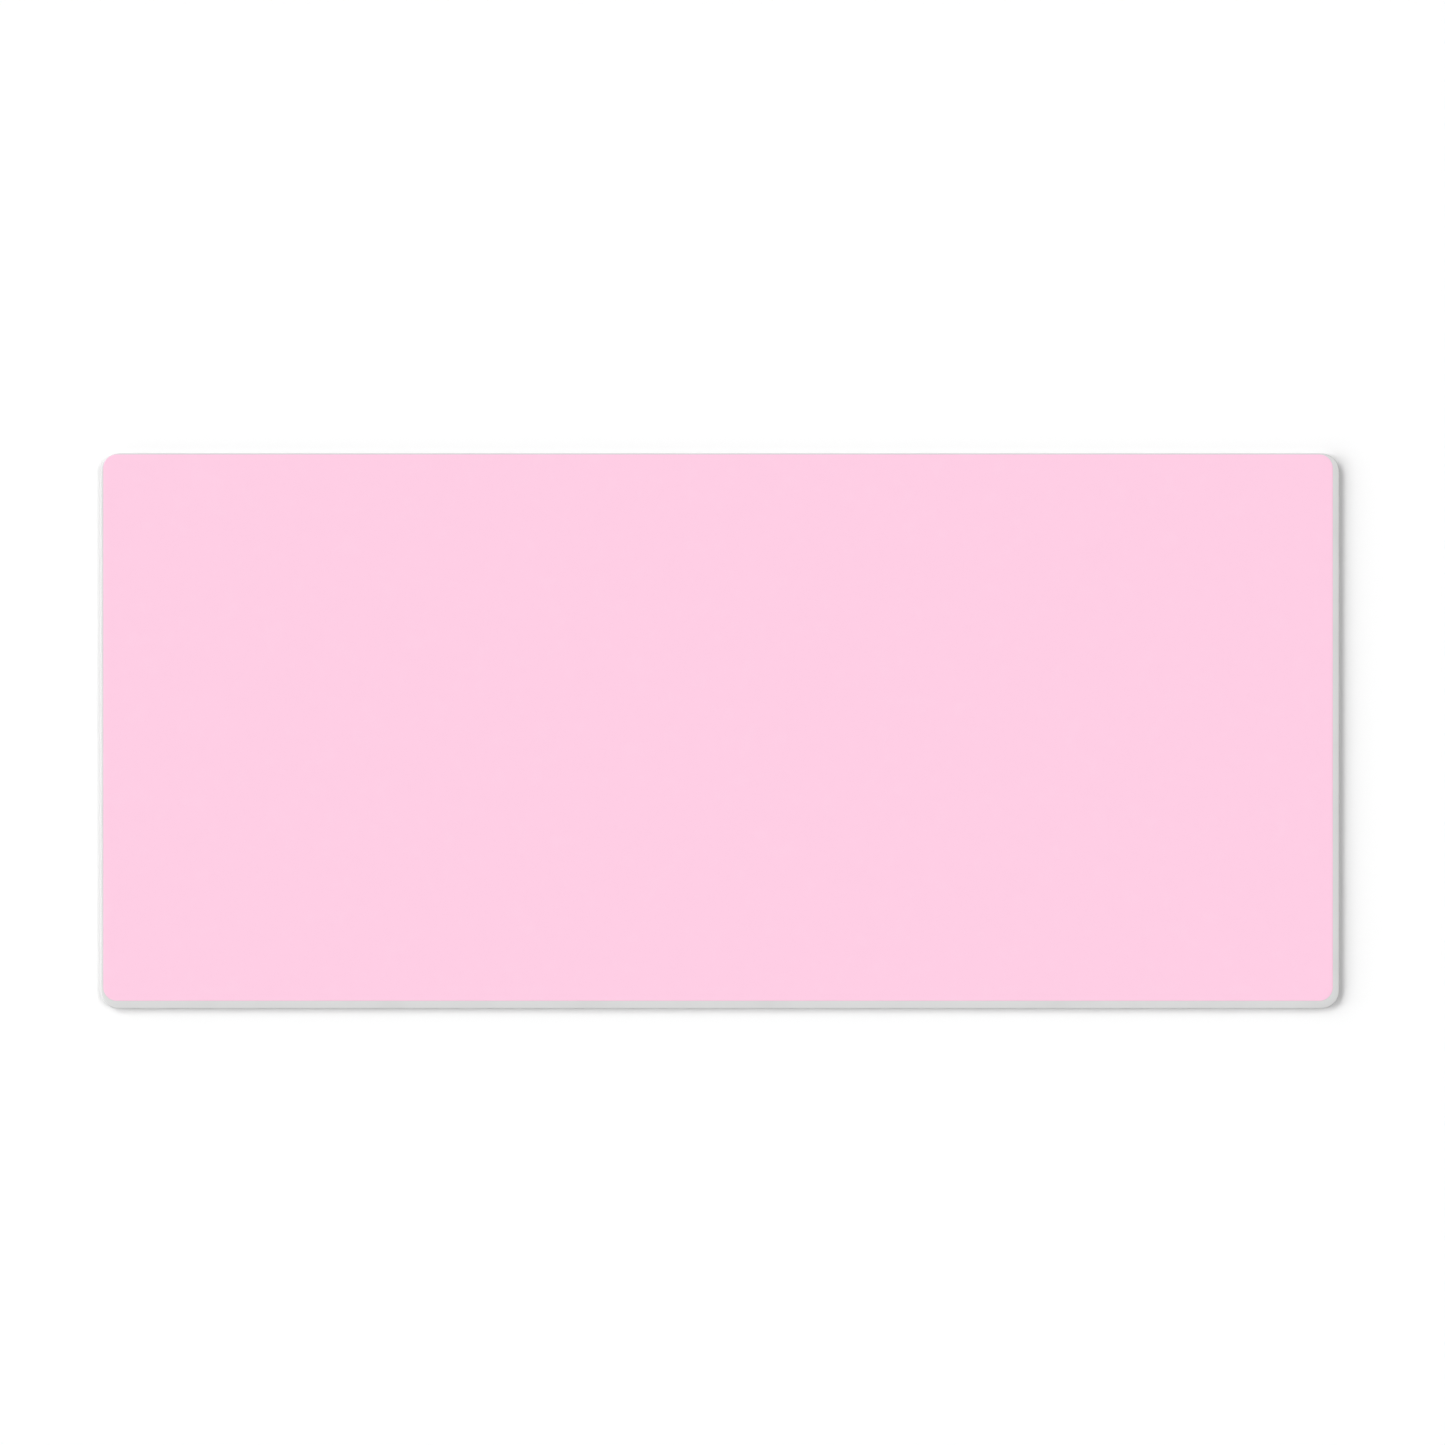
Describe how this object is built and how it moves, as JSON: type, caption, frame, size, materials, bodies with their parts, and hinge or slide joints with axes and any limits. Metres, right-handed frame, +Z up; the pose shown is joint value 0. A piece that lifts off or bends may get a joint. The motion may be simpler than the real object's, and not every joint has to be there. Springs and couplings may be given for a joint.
{
  "type": "desk mat",
  "caption": "Flat rectangular desk mat with small round corners: a plain printed cloth face set flush in a foam cushion with a narrow pale border, over a rubber grip sheet.",
  "frame": {"origin": "centre of the underside, on the surface that the mat lies on", "axes": "+X along the long side to the user's right, +Y from the front edge to the rear edge, +Z up out of the cloth face"},
  "size_m": [0.9062, 0.4062, 0.004],
  "materials": {
    "printed_cloth": "matte",
    "foam_rubber": "matte",
    "grip_rubber": "matte",
    "bond_film": "matte"
  },
  "bodies": {
    "root": {"grip_base": "grip_rubber", "cushion_core": "foam_rubber", "bond_film": "bond_film", "face_cloth": "printed_cloth"}
  },
  "joints": []
}
